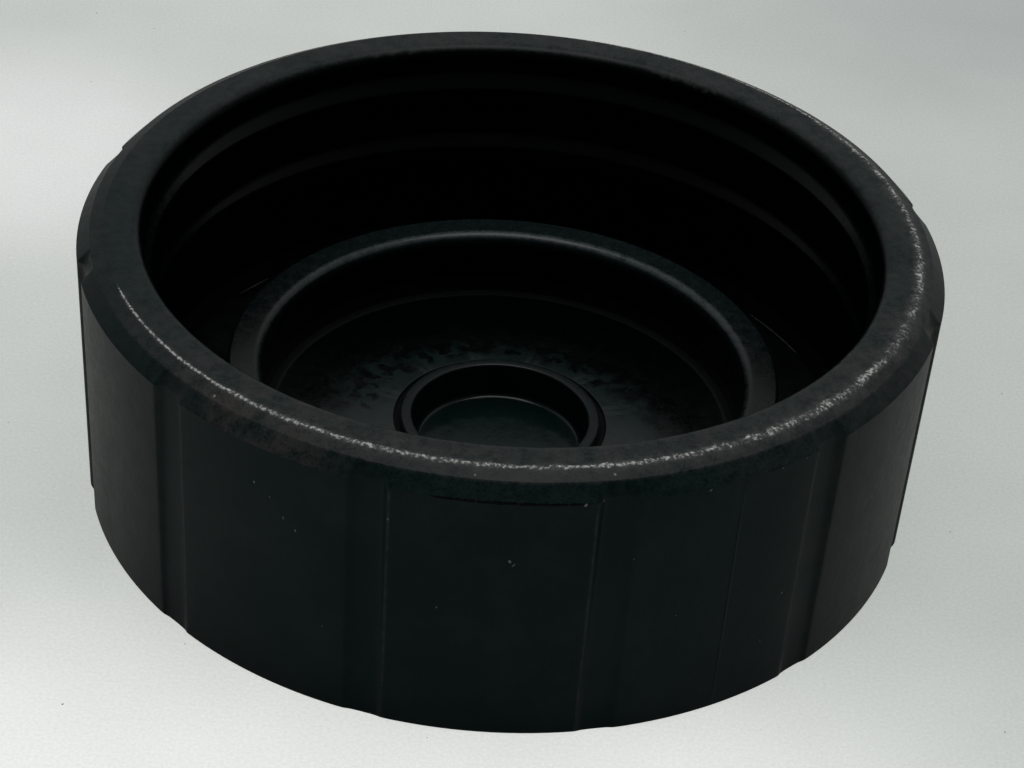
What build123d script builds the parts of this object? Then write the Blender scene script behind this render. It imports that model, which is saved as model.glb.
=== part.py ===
"""Oil filler cap: a moulded plastic cap that lies on its closed face, with a flat rubber sealing ring.

Millimetres, +Z up out of the open mouth. The origin is the centre of the closed face.
"""
from build123d import *
import math
import os

# Skirt and rim
CAP_HEIGHT = 25.0
PAD_RADIUS = 36.25          # grip pads at their upper edge
PAD_DRAFT = 1.6             # degrees that the pads lean in towards the closed face
FOOT_ROUND = 0.35           # edge between the pads and the closed face
PAD_CHAMFER_WIDTH = 1.1     # steep chamfer on top of each pad, measured across
PAD_CHAMFER_DROP = 1.2
RIM_BEVEL_WIDTH = 1.15      # shallow bevel between that chamfer and the flat rim
RIM_BEVEL_DROP = 0.6
RIM_EDGE_ROUND = 0.4
MOUTH_ROUND = 0.7

# Finger grooves in the skirt
GROOVE_COUNT = 12
FIRST_GROOVE_ANGLE = 15.0   # degrees from +X
GROOVE_WIDTH = 3.2
GROOVE_TOP_DEPTH = 0.66
GROOVE_FOOT_DEPTH = 0.32
GROOVE_SIDE_ANGLE = 35.0    # degrees that the groove's sides lean apart
GROOVE_FLOOR_ROUND = 0.4
GROOVE_EDGE_ROUND = 0.25

# Inner wall and its two level beads
SKIRT_WALL = 5.35           # from the mouth to the pads
WALL_DRAFT = 0.5            # degrees, the same on every inner wall
FIRST_BEAD_DEPTH = 4.1      # middle of the first bead below the rim
BEAD_SPACING = 6.2
BEAD_COUNT = 2
BEAD_HEIGHT = 0.8           # how far the first bead stands out of the wall
BEAD_CREST_WIDTH = 0.5
BEAD_FLANK_ANGLE = 55.0     # degrees between a flank and the level
BEAD_CREST_ROUND = 0.6
BEAD_FOOT_ROUND = 0.8

# Channel, standing ring and floor
CHANNEL_FLOOR = 2.6         # thickness of the closed end under the channel
CHANNEL_WIDTH = 7.1
CHANNEL_CORNER_ROUND = 0.25
RING_HEIGHT = 8.3           # standing ring above the channel's floor
RING_WALL = 3.05
RING_OUTER_ROUND = 0.3
RING_INNER_ROUND = 0.8
WELL_FLOOR = 4.9            # thickness of the closed end inside the standing ring
WELL_CORNER_ROUND = 0.3

# Collar and recess in the middle of the floor
RECESS_FLOOR = 2.2          # thickness of the closed end under the recess
RECESS_RADIUS = 7.7
RECESS_DRAFT = 5.0          # degrees
RECESS_CORNER_ROUND = 0.5
COLLAR_WALL = 1.1
COLLAR_HEIGHT = 0.5
COLLAR_ROUND = 0.25
MOAT_WIDTH = 0.5
MOAT_DEPTH = 0.35

# Rubber sealing ring in the channel
SEAL_THICKNESS = 2.2
SEAL_SIDE_CLEARANCE = 0.3
SEAL_EDGE_ROUND = 0.35

# Radii and heights that follow
draft_slope = math.tan(math.radians(WALL_DRAFT))
bevel_radius = PAD_RADIUS - PAD_CHAMFER_WIDTH
rim_radius = bevel_radius - RIM_BEVEL_WIDTH
bevel_height = CAP_HEIGHT - RIM_BEVEL_DROP
pad_edge_height = bevel_height - PAD_CHAMFER_DROP
mouth_radius = PAD_RADIUS - SKIRT_WALL
crest_radius = mouth_radius - FIRST_BEAD_DEPTH * draft_slope - BEAD_HEIGHT
ring_top = CHANNEL_FLOOR + RING_HEIGHT
ring_outer_radius = mouth_radius - CHANNEL_WIDTH
ring_foot_radius = ring_outer_radius + RING_HEIGHT * draft_slope
ring_inner_radius = ring_outer_radius - RING_WALL
well_foot_radius = ring_inner_radius - (ring_top - WELL_FLOOR) * draft_slope
collar_top = WELL_FLOOR + COLLAR_HEIGHT
collar_radius = RECESS_RADIUS + COLLAR_WALL
moat_radius = collar_radius + MOAT_WIDTH
recess_foot_radius = RECESS_RADIUS - (collar_top - RECESS_FLOOR) * math.tan(math.radians(RECESS_DRAFT))


def wall_radius(height):
    """Radius of the skirt's inner wall at a height above the closed face."""
    return mouth_radius - (CAP_HEIGHT - height) * draft_slope


def pad_radius(height):
    """Radius of the grip pads at a height above the closed face."""
    return PAD_RADIUS - (pad_edge_height - height) * math.tan(math.radians(PAD_DRAFT))


def groove_depth(height):
    """Depth of the finger grooves below the pads at a height above the closed face."""
    return GROOVE_FOOT_DEPTH + (GROOVE_TOP_DEPTH - GROOVE_FOOT_DEPTH) * height / pad_edge_height


def bead_outline(number):
    """Four corners of one level bead, from its upper edge on the wall to its lower one."""
    middle = CAP_HEIGHT - FIRST_BEAD_DEPTH - number * BEAD_SPACING
    half_crest = BEAD_CREST_WIDTH / 2
    flank = (wall_radius(middle) - crest_radius) * math.tan(math.radians(BEAD_FLANK_ANGLE))
    upper = middle + half_crest + flank
    lower = middle - half_crest - flank
    return [
        (wall_radius(upper), upper),
        (crest_radius, middle + half_crest),
        (crest_radius, middle - half_crest),
        (wall_radius(lower), lower),
    ]


def turned(outline, rounds):
    """Revolve an outline of (radius, height) points about +Z, with some corners rounded first."""
    section = make_face(Polyline(*[(radius, height) for radius, height in outline], close=True))
    for corner, size in rounds:
        section = fillet(section.vertices().sort_by_distance(corner)[0], size)
    return revolve(Plane.XZ * section, Axis.Z)


def cap_blank():
    """The whole cap before its finger grooves are cut."""
    beads = [point for number in range(BEAD_COUNT) for point in bead_outline(number)]
    crests = [point for point in beads if point[0] == crest_radius]
    feet = [point for point in beads if point[0] != crest_radius]
    foot = (pad_radius(0), 0)
    rim_edge = (rim_radius, CAP_HEIGHT)
    mouth = (mouth_radius, CAP_HEIGHT)
    channel_outer = (wall_radius(CHANNEL_FLOOR), CHANNEL_FLOOR)
    channel_inner = (ring_foot_radius, CHANNEL_FLOOR)
    ring_outer = (ring_outer_radius, ring_top)
    ring_inner = (ring_inner_radius, ring_top)
    well_corner = (well_foot_radius, WELL_FLOOR)
    collar_outer = (collar_radius, collar_top)
    collar_inner = (RECESS_RADIUS, collar_top)
    recess_corner = (recess_foot_radius, RECESS_FLOOR)
    outline = [
        (0, 0),
        foot,
        (PAD_RADIUS, pad_edge_height),
        (bevel_radius, bevel_height),
        rim_edge,
        mouth,
        *beads,
        channel_outer,
        channel_inner,
        ring_outer,
        ring_inner,
        well_corner,
        (moat_radius, WELL_FLOOR),
        (moat_radius, WELL_FLOOR - MOAT_DEPTH),
        (collar_radius, WELL_FLOOR - MOAT_DEPTH),
        collar_outer,
        collar_inner,
        recess_corner,
        (0, RECESS_FLOOR),
    ]
    rounds = [
        (foot, FOOT_ROUND),
        (rim_edge, RIM_EDGE_ROUND),
        (mouth, MOUTH_ROUND),
        *[(crest, BEAD_CREST_ROUND) for crest in crests],
        *[(foot_point, BEAD_FOOT_ROUND) for foot_point in feet],
        (channel_outer, CHANNEL_CORNER_ROUND),
        (channel_inner, CHANNEL_CORNER_ROUND),
        (ring_outer, RING_OUTER_ROUND),
        (ring_inner, RING_INNER_ROUND),
        (well_corner, WELL_CORNER_ROUND),
        (collar_outer, COLLAR_ROUND),
        (collar_inner, COLLAR_ROUND),
        (recess_corner, RECESS_CORNER_ROUND),
    ]
    return turned(outline, rounds)


def groove_section(height):
    """Cross-section of a finger groove at one height, open towards the outside."""
    depth = groove_depth(height)
    surface_radius = pad_radius(height)
    floor_radius = surface_radius - depth
    spread = math.tan(math.radians(GROOVE_SIDE_ANGLE))
    half_floor = GROOVE_WIDTH / 2 - depth * spread
    half_outside = GROOVE_WIDTH / 2 + depth * spread
    outside = surface_radius + depth
    face = make_face(Polyline(
        (floor_radius, -half_floor),
        (outside, -half_outside),
        (outside, half_outside),
        (floor_radius, half_floor),
        close=True,
    ))
    floor_corners = face.vertices().sort_by(Axis.X)[:2]
    return Plane.XY.offset(height) * fillet(floor_corners, GROOVE_FLOOR_ROUND)


def grooves():
    """All finger grooves as one cutting shape, each deepest at the rim and shallow at the foot."""
    cutter = loft([groove_section(height) for height in (-FOOT_ROUND, CAP_HEIGHT)])
    step = 360 / GROOVE_COUNT
    angles = [FIRST_GROOVE_ANGLE + number * step for number in range(GROOVE_COUNT)]
    return [Rot(0, 0, angle) * cutter for angle in angles]


def is_pad_edge(edge):
    """Whether an edge runs up the skirt on the surface of a grip pad."""
    start, middle, end = [edge.position_at(place) for place in (0, 0.5, 1)]
    rise = abs(end.Z - start.Z)
    radius = math.hypot(middle.X, middle.Y)
    return rise > pad_edge_height / 2 and math.isclose(radius, pad_radius(middle.Z), abs_tol=0.01)


def cap_body():
    """The moulded cap, with its finger grooves cut and their upright edges rounded."""
    body = cap_blank() - grooves()
    return fillet(body.edges().filter_by(is_pad_edge), GROOVE_EDGE_ROUND)


def sealing_ring():
    """The flat rubber ring that lies on the channel's floor."""
    inner = ring_foot_radius + SEAL_SIDE_CLEARANCE
    outer = wall_radius(CHANNEL_FLOOR) - SEAL_SIDE_CLEARANCE
    top = CHANNEL_FLOOR + SEAL_THICKNESS
    corners = [(inner, CHANNEL_FLOOR), (outer, CHANNEL_FLOOR), (outer, top), (inner, top)]
    return turned(corners, [(corner, SEAL_EDGE_ROUND) for corner in corners])


os.makedirs("parts", exist_ok=True)
export_step(cap_body(), "parts/cap_body.step")
export_step(sealing_ring(), "parts/sealing_ring.step")
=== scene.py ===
"""Oil filler cap: its looks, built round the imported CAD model.

Blender's units are metres. +Z runs up out of the cap's open mouth, and the origin is the centre of
its closed face, as in the CAD model. The sizes of the cap's own forms are written in millimetres.
"""
from __future__ import annotations

import logging
import math
from dataclasses import dataclass
from enum import Enum
import bmesh
import bpy
from mathutils import Matrix, Vector


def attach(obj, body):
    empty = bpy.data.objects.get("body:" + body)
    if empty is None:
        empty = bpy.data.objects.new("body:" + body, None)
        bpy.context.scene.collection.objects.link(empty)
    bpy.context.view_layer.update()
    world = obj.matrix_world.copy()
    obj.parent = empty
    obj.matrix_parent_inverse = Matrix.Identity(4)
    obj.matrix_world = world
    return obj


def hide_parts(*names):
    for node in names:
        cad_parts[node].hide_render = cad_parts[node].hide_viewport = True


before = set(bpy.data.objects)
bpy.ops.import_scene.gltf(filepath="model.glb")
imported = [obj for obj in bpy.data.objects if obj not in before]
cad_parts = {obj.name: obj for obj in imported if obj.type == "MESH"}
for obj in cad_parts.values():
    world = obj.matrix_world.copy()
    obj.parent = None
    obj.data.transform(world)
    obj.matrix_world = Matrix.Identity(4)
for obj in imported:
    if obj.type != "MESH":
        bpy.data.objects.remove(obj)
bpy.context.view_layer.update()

MILLIMETRE = 0.001
IMAGE_WIDTH = 1024
SHARP_DEGREES = 40.0
LEVEL_TOLERANCE = 1e-6
NOISE_MIDDLE = 0.5
FULL_TURN = 360
COLOUR_MIX_INPUTS = (0, 6, 7)
COLOUR_MIX_OUTPUT = 2

log = logging.getLogger("oil_filler_cap")

Outline = list[tuple[float, float]]
Point = tuple[float, float, float]
Faces = list[tuple[int, ...]]
Span = tuple[float, float]
Stops = tuple[Span, ...]
Colour = tuple[float, float, float]
Socket = bpy.types.NodeSocket
Sockets = bpy.types.NodeOutputs
Value = float | Colour | Socket


class Slot(Enum):
    """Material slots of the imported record."""

    BLACK_PLASTIC = "black_plastic"
    SEAL_RUBBER = "seal_rubber"


class Node(Enum):
    """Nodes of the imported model."""

    CAP_BODY = "cap_body"
    SEALING_RING = "sealing_ring"


class Zone(Enum):
    """Zones of the cap whose skins differ."""

    SKIRT = "skirt"
    RIM = "rim"
    INSIDE = "inside"


@dataclass(frozen=True)
class Corner:
    """A corner of a turned outline: radius from the axis, height and rounding, in millimetres."""

    radius: float
    height: float
    rounding: float = 0.0


def arc_at(before: Corner, corner: Corner, after: Corner, step: float) -> Outline:
    """Replace a corner by the points of its round.

    Args:
        before: The corner before it.
        corner: The corner to round.
        after: The corner after it.
        step: The most degrees that one piece of the round turns.

    Returns:
        The points of the round, or the corner itself where it has none.
    """
    here = Vector((corner.radius, corner.height))
    if corner.rounding <= 0:
        return [tuple(here)]
    back = (Vector((before.radius, before.height)) - here).normalized()
    ahead = (Vector((after.radius, after.height)) - here).normalized()
    half = back.angle(ahead) / 2
    centre = here + (back + ahead).normalized() * corner.rounding / math.sin(half)
    tangent = corner.rounding / math.tan(half)
    first = here + back * tangent - centre
    last = here + ahead * tangent - centre
    turn = first.angle_signed(last)
    count = max(2, math.ceil(abs(math.degrees(turn)) / step))
    points = []
    for number in range(count + 1):
        spoke = first.copy()
        spoke.rotate(Matrix.Rotation(-turn * number / count, 2))
        points.append(tuple(centre + spoke))
    return points


def rounded(corners: list[Corner], step: float = 15.0, longest: float = 3.0) -> Outline:
    """Turn corners into an outline with rounds and without long runs.

    Args:
        corners: The corners in order. The first and last stay sharp.
        step: The most degrees that one piece of a round turns.
        longest: The longest run between two points, in millimetres.

    Returns:
        Points of (radius, height) in millimetres.
    """
    exact = [(corners[0].radius, corners[0].height)]
    for before, corner, after in zip(corners, corners[1:], corners[2:]):
        exact += arc_at(before, corner, after, step)
    exact.append((corners[-1].radius, corners[-1].height))
    outline = [exact[0]]
    for start, end in zip(exact, exact[1:]):
        pieces = max(1, math.ceil(math.dist(start, end) / longest))
        for number in range(1, pieces + 1):
            share = number / pieces
            outline.append(tuple(a + (b - a) * share for a, b in zip(start, end)))
    return outline


def piece_from(name: str, points: list[Point], faces: Faces) -> bpy.types.Object:
    """Make an object from points in millimetres, with smooth faces and even normals.

    Args:
        name: The piece's name.
        points: The mesh's points in millimetres.
        faces: The faces as indices of those points.

    Returns:
        The new object, linked to the scene.
    """
    mesh = bpy.data.meshes.new(name)
    mesh.from_pydata([[value * MILLIMETRE for value in point] for point in points], [], faces)
    work = bmesh.new()
    work.from_mesh(mesh)
    bmesh.ops.recalc_face_normals(work, faces=work.faces)
    work.to_mesh(mesh)
    work.free()
    mesh.shade_smooth()
    mesh.set_sharp_from_angle(angle=math.radians(SHARP_DEGREES))
    piece = bpy.data.objects.new(name, mesh)
    bpy.context.scene.collection.objects.link(piece)
    evened = piece.modifiers.new("even_normals", "WEIGHTED_NORMAL")
    evened.keep_sharp = True
    return piece


def grid_faces(rows: int, columns: int, first: int = 0) -> Faces:
    """Faces between rows of points that each run once round the axis.

    Args:
        rows: The number of rows.
        columns: The number of points in a row.
        first: The index of the first row's first point.

    Returns:
        Faces as indices of the points.
    """
    faces = []
    for row in range(rows - 1):
        low = first + row * columns
        high = low + columns
        for column in range(columns):
            after = (column + 1) % columns
            faces.append((low + column, low + after, high + after, high + column))
    return faces


@dataclass
class CapBody:
    """The moulded cap: skirt with finger grooves, rim, beaded wall, standing ring, floor and recess.

    All sizes are in millimetres and angles in degrees. They follow the CAD model, but for a few
    edges with a softer or a sharper round, and for the faint mould line on one pad.
    """

    height: float = 25.0
    pad_radius: float = 36.24
    pad_draft: float = 1.6
    foot_round: float = 0.35
    chamfer_width: float = 1.09
    chamfer_drop: float = 1.2
    bevel_width: float = 1.15
    bevel_drop: float = 0.6
    rim_edge_round: float = 0.4
    mouth_round: float = 1.05
    small_round: float = 0.12
    groove_count: int = 12
    first_groove_angle: float = 15.0
    groove_width: float = 3.2
    groove_top_depth: float = 0.66
    groove_foot_depth: float = 0.32
    groove_side_angle: float = 35.0
    groove_edge_softness: float = 0.14
    groove_floor_softness: float = 0.3
    groove_floor_places: tuple[float, ...] = (-0.4, -0.24, -0.12, -0.03, 0.05)
    groove_edge_places: tuple[float, ...] = (-0.05, 0.0, 0.05, 0.11, 0.2, 0.35)
    pad_start: float = 4.2
    pad_columns: int = 13
    skirt_wall: float = 5.34
    wall_draft: float = 0.5
    first_bead_depth: float = 4.1
    bead_spacing: float = 6.2
    bead_count: int = 2
    bead_height: float = 0.8
    bead_crest_width: float = 0.5
    bead_flank_angle: float = 55.0
    bead_crest_round: float = 0.78
    bead_foot_round: float = 2.0
    channel_floor: float = 2.6
    channel_width: float = 7.1
    channel_corner_round: float = 0.25
    ring_height: float = 8.3
    ring_wall: float = 3.05
    ring_outer_round: float = 0.3
    ring_inner_round: float = 0.8
    well_floor: float = 4.9
    well_corner_round: float = 0.1
    recess_floor: float = 2.2
    recess_radius: float = 7.7
    recess_draft: float = 5.0
    recess_corner_round: float = 0.5
    collar_wall: float = 1.1
    collar_height: float = 0.5
    collar_round: float = 0.25
    moat_width: float = 0.5
    moat_depth: float = 0.35
    moat_round: float = 0.08
    mould_line_angle: float = 301.2
    mould_line_height: float = 0.035
    mould_line_width: float = 0.1
    mould_line_foot: float = 0.8
    mould_line_top_gap: float = 0.1
    mould_line_places: tuple[float, ...] = (-2.2, -1.4, -0.8, -0.35, 0, 0.35, 0.8, 1.4, 2.2)
    mould_line_clear: float = 3.0
    skirt_row_margin: float = 0.1
    mouth_margin: float = 0.02
    rim_margin: float = 0.05

    @property
    def step(self) -> float:
        """Degrees from one groove to the next."""
        return FULL_TURN / self.groove_count

    @property
    def bevel_radius(self) -> float:
        """Radius where the shallow bevel meets the steep chamfer."""
        return self.pad_radius - self.chamfer_width

    @property
    def bevel_height(self) -> float:
        """Height of that meeting line."""
        return self.height - self.bevel_drop

    @property
    def pad_edge_height(self) -> float:
        """Height of the pads' upper edge."""
        return self.bevel_height - self.chamfer_drop

    @property
    def rim_radius(self) -> float:
        """Radius of the rim's outer edge."""
        return self.bevel_radius - self.bevel_width

    @property
    def mouth_radius(self) -> float:
        """Radius of the open mouth."""
        return self.pad_radius - self.skirt_wall

    @property
    def ring_top(self) -> float:
        """Height of the standing ring's top."""
        return self.channel_floor + self.ring_height

    @property
    def ring_outer_radius(self) -> float:
        """Radius of the standing ring outside, at its top."""
        return self.mouth_radius - self.channel_width

    def pad_at(self, height: float) -> float:
        """Radius of the grip pads at a height."""
        return self.pad_radius - (self.pad_edge_height - height) * math.tan(math.radians(self.pad_draft))

    def groove_floor_at(self, height: float) -> float:
        """Distance of a groove's flat floor from the axis at a height."""
        deepening = self.groove_top_depth - self.groove_foot_depth
        return self.pad_at(height) - self.groove_foot_depth - deepening * height / self.pad_edge_height

    def wall_at(self, height: float) -> float:
        """Radius of the skirt's inner wall at a height."""
        return self.mouth_radius - (self.height - height) * math.tan(math.radians(self.wall_draft))

    def bead_corners(self, number: int) -> list[Corner]:
        """Place the corners of one level bead.

        Args:
            number: The bead's number, from 0 at the mouth.

        Returns:
            Four corners, from its upper edge on the wall to its lower one.
        """
        first_middle = self.height - self.first_bead_depth
        middle = first_middle - number * self.bead_spacing
        crest = self.wall_at(first_middle) - self.bead_height
        flank = (self.wall_at(middle) - crest) * math.tan(math.radians(self.bead_flank_angle))
        upper = middle + self.bead_crest_width / 2
        lower = middle - self.bead_crest_width / 2
        return [
            Corner(self.wall_at(upper + flank), upper + flank, self.bead_foot_round),
            Corner(crest, upper, self.bead_crest_round),
            Corner(crest, lower, self.bead_crest_round),
            Corner(self.wall_at(lower - flank), lower - flank, self.bead_foot_round),
        ]

    def corners(self) -> list[Corner]:
        """Place every corner of the turned outline.

        Returns:
            The corners, from the closed face's middle round to the recess's middle.
        """
        draft = math.tan(math.radians(self.wall_draft))
        ring_foot = self.ring_outer_radius + self.ring_height * draft
        ring_inner = self.ring_outer_radius - self.ring_wall
        well_foot = ring_inner - (self.ring_top - self.well_floor) * draft
        collar_top = self.well_floor + self.collar_height
        collar_radius = self.recess_radius + self.collar_wall
        moat_radius = collar_radius + self.moat_width
        moat_floor = self.well_floor - self.moat_depth
        recess_depth = collar_top - self.recess_floor
        recess_foot = self.recess_radius - recess_depth * math.tan(math.radians(self.recess_draft))
        return [
            Corner(0, 0),
            Corner(self.pad_at(0), 0, self.foot_round),
            Corner(self.pad_radius, self.pad_edge_height, self.small_round),
            Corner(self.bevel_radius, self.bevel_height, self.small_round),
            Corner(self.rim_radius, self.height, self.rim_edge_round),
            Corner(self.mouth_radius, self.height, self.mouth_round),
            *[corner for number in range(self.bead_count) for corner in self.bead_corners(number)],
            Corner(self.wall_at(self.channel_floor), self.channel_floor, self.channel_corner_round),
            Corner(ring_foot, self.channel_floor, self.channel_corner_round),
            Corner(self.ring_outer_radius, self.ring_top, self.ring_outer_round),
            Corner(ring_inner, self.ring_top, self.ring_inner_round),
            Corner(well_foot, self.well_floor, self.well_corner_round),
            Corner(moat_radius, self.well_floor, self.moat_round),
            Corner(moat_radius, moat_floor, self.moat_round),
            Corner(collar_radius, moat_floor, self.moat_round),
            Corner(collar_radius, collar_top, self.collar_round),
            Corner(self.recess_radius, collar_top, self.collar_round),
            Corner(recess_foot, self.recess_floor, self.recess_corner_round),
            Corner(0, self.recess_floor),
        ]

    def groove_places(self, height: float) -> list[float]:
        """Choose where a row of the mesh has points beside a groove's middle.

        Args:
            height: The row's height above the closed face.

        Returns:
            Distances across the groove, from its middle outwards.
        """
        depth = self.pad_at(height) - self.groove_floor_at(height)
        floor_edge = self.groove_width / 2 - depth * math.tan(math.radians(self.groove_side_angle))
        opening = self.groove_width / 2
        return [
            floor_edge / 2,
            *[floor_edge + place for place in self.groove_floor_places],
            (floor_edge + opening) / 2,
            *[opening + place for place in self.groove_edge_places],
        ]

    def depth_limit(self, height: float, across: float) -> float:
        """Find how far the plastic reaches inside a groove.

        Args:
            height: The height above the closed face.
            across: The distance from the groove's middle line.

        Returns:
            The distance from the axis, measured along the groove's middle line.
        """
        depth = self.pad_at(height) - self.groove_floor_at(height)
        slope = 1 / math.tan(math.radians(self.groove_side_angle))
        past = abs(across) - (self.groove_width / 2 - depth / slope)
        rise = (past + math.hypot(past, self.groove_floor_softness)) / 2
        return self.groove_floor_at(height) + slope * rise

    def surface_point(self, radius: float, height: float, across: float, grooved: bool) -> tuple[float, float]:
        """Place a point of a row beside a groove.

        Args:
            radius: The turned outline's radius there.
            height: The height above the closed face.
            across: The distance from the groove's middle line.
            grooved: Whether the row is on the skirt, which the groove cuts.

        Returns:
            The distance along the groove's middle line, and across it.
        """
        along = math.sqrt(radius * radius - across * across)
        if grooved:
            limit = self.depth_limit(height, across)
            gap = limit - along
            along = (limit + along - math.hypot(gap, self.groove_edge_softness)) / 2
        return along, across

    def pad_turns(self, sector: int) -> list[float]:
        """Choose the columns of the pad after a groove, closer together at the mould line.

        Args:
            sector: The number of the groove.

        Returns:
            Degrees from the groove's middle to each column.
        """
        first, last = self.pad_start, self.step - self.pad_start
        pieces = self.pad_columns - 1
        turns = [first + (last - first) * number / pieces for number in range(self.pad_columns)]
        line = self.mould_line_turn(sector)
        if first < line < last:
            fine = math.degrees(self.mould_line_width / self.pad_radius)
            near = [line + fine * place for place in self.mould_line_places]
            clear = fine * self.mould_line_clear
            turns = [turn for turn in turns if abs(turn - line) > clear] + near
        return sorted(turns)

    def mould_line_turn(self, sector: int) -> float:
        """Degrees from a groove's middle to the mould line."""
        return (self.mould_line_angle - self.first_groove_angle) % FULL_TURN - sector * self.step

    def mould_line_rise(self, turn: float, sector: int, height: float) -> float:
        """Find how far the faint mould line stands out of a pad.

        Args:
            turn: Degrees from the middle of the groove before.
            sector: The number of that groove.
            height: The height above the closed face.

        Returns:
            The rise in millimetres.
        """
        away = math.radians(turn - self.mould_line_turn(sector)) * self.pad_radius / self.mould_line_width
        above = height - self.mould_line_foot
        below = self.pad_edge_height - self.mould_line_top_gap - height
        fade = min(1.0, max(0.0, above), max(0.0, below))
        return self.mould_line_height * fade * math.exp(-away * away)

    def row(self, radius: float, height: float, grooved: bool) -> list[Point]:
        """Make one row of points round the axis.

        Args:
            radius: The turned outline's radius.
            height: The row's height above the closed face.
            grooved: Whether the finger grooves cut this row.

        Returns:
            The row's points in millimetres.
        """
        points = []
        places = self.groove_places(height)
        scale = min(1.0, radius / self.pad_at(height))
        spots = [spot * scale for spot in (*[-place for place in reversed(places)], 0.0, *places)]
        flat = [self.surface_point(radius, height, spot, grooved) for spot in spots]
        for sector in range(self.groove_count):
            middle = math.radians(self.first_groove_angle + sector * self.step)
            turned = [
                (middle + math.atan2(across, along), math.hypot(along, across)) for along, across in flat
            ]
            for turn in self.pad_turns(sector):
                offset = radius * math.sin(math.radians(min(turn, self.step - turn)))
                reach = math.hypot(*self.surface_point(radius, height, offset, grooved))
                if grooved:
                    reach += self.mould_line_rise(turn, sector, height)
                turned.append((middle + math.radians(turn), reach))
            points += [
                (reach * math.cos(angle), reach * math.sin(angle), height) for angle, reach in turned
            ]
        return points

    def build(self) -> bpy.types.Object:
        """Build the whole cap as one closed mesh that stands for its CAD node.

        Returns:
            The cap.
        """
        rows = rounded(self.corners())[1:-1]
        top = self.height - LEVEL_TOLERANCE
        rim_row = next(number for number, (_, height) in enumerate(rows) if height >= top)
        points: list[Point] = [(0.0, 0.0, 0.0)]
        columns = 0
        for number, (radius, height) in enumerate(rows):
            grooved = number < rim_row and radius > self.bevel_radius - self.skirt_row_margin
            ring = self.row(radius, height, grooved)
            columns = len(ring)
            points += ring
        points.append((0.0, 0.0, self.recess_floor))
        last = len(points) - 1
        faces = grid_faces(len(rows), columns, 1)
        final_row = last - columns
        for column in range(columns):
            after = (column + 1) % columns
            faces.append((0, 1 + after, 1 + column))
            faces.append((last, final_row + column, final_row + after))
        piece = piece_from("cap_shell", points, faces)
        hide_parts(Node.CAP_BODY.value)
        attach(piece, "root")
        return piece

    def zone_at(self, radius: float, height: float) -> Zone:
        """Say which zone a face belongs to.

        Args:
            radius: The face's distance from the axis, in millimetres.
            height: Its height above the closed face, in millimetres.

        Returns:
            The zone.
        """
        if height < self.foot_round:
            return Zone.SKIRT
        if radius < self.mouth_radius + self.mouth_margin:
            return Zone.INSIDE
        return Zone.RIM if height > self.pad_edge_height - self.rim_margin else Zone.SKIRT

    def dress(self, piece: bpy.types.Object, finish: MouldedPlastic) -> None:
        """Give each zone of the cap its skin.

        Args:
            piece: The cap.
            finish: The plastic it is made of.
        """
        zones = list(Zone)
        for zone in zones:
            piece.data.materials.append(finish.material(zone))
        for face in piece.data.polygons:
            x, y, z = face.center / MILLIMETRE
            face.material_index = zones.index(self.zone_at(math.hypot(x, y), z))


@dataclass
class SealingRing:
    """The flat rubber ring at the bottom of the channel. Sizes are in millimetres."""

    inner_radius: float = 24.18
    outer_radius: float = 30.4
    bottom: float = 2.6
    thickness: float = 2.2
    edge_round: float = 0.35
    longest_run: float = 1.5
    columns: int = 240

    def build(self) -> bpy.types.Object:
        """Build the ring as one closed mesh that stands for its CAD node.

        Returns:
            The ring.
        """
        middle = (self.inner_radius + self.outer_radius) / 2
        top = self.bottom + self.thickness
        corners = [
            Corner(middle, self.bottom),
            Corner(self.outer_radius, self.bottom, self.edge_round),
            Corner(self.outer_radius, top, self.edge_round),
            Corner(self.inner_radius, top, self.edge_round),
            Corner(self.inner_radius, self.bottom, self.edge_round),
            Corner(middle, self.bottom),
        ]
        outline = rounded(corners, longest=self.longest_run)[:-1]
        points = []
        for radius, height in outline:
            for column in range(self.columns):
                angle = 2 * math.pi * column / self.columns
                points.append((radius * math.cos(angle), radius * math.sin(angle), height))
        faces = grid_faces(len(outline), self.columns)
        start = (len(outline) - 1) * self.columns
        for column in range(self.columns):
            after = (column + 1) % self.columns
            faces.append((start + column, start + after, after, column))
        piece = piece_from("rubber_ring", points, faces)
        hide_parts(Node.SEALING_RING.value)
        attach(piece, "root")
        return piece

    def dress(self, piece: bpy.types.Object, finish: bpy.types.Material) -> None:
        """Give the ring its finish."""
        piece.data.materials.append(finish)


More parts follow.
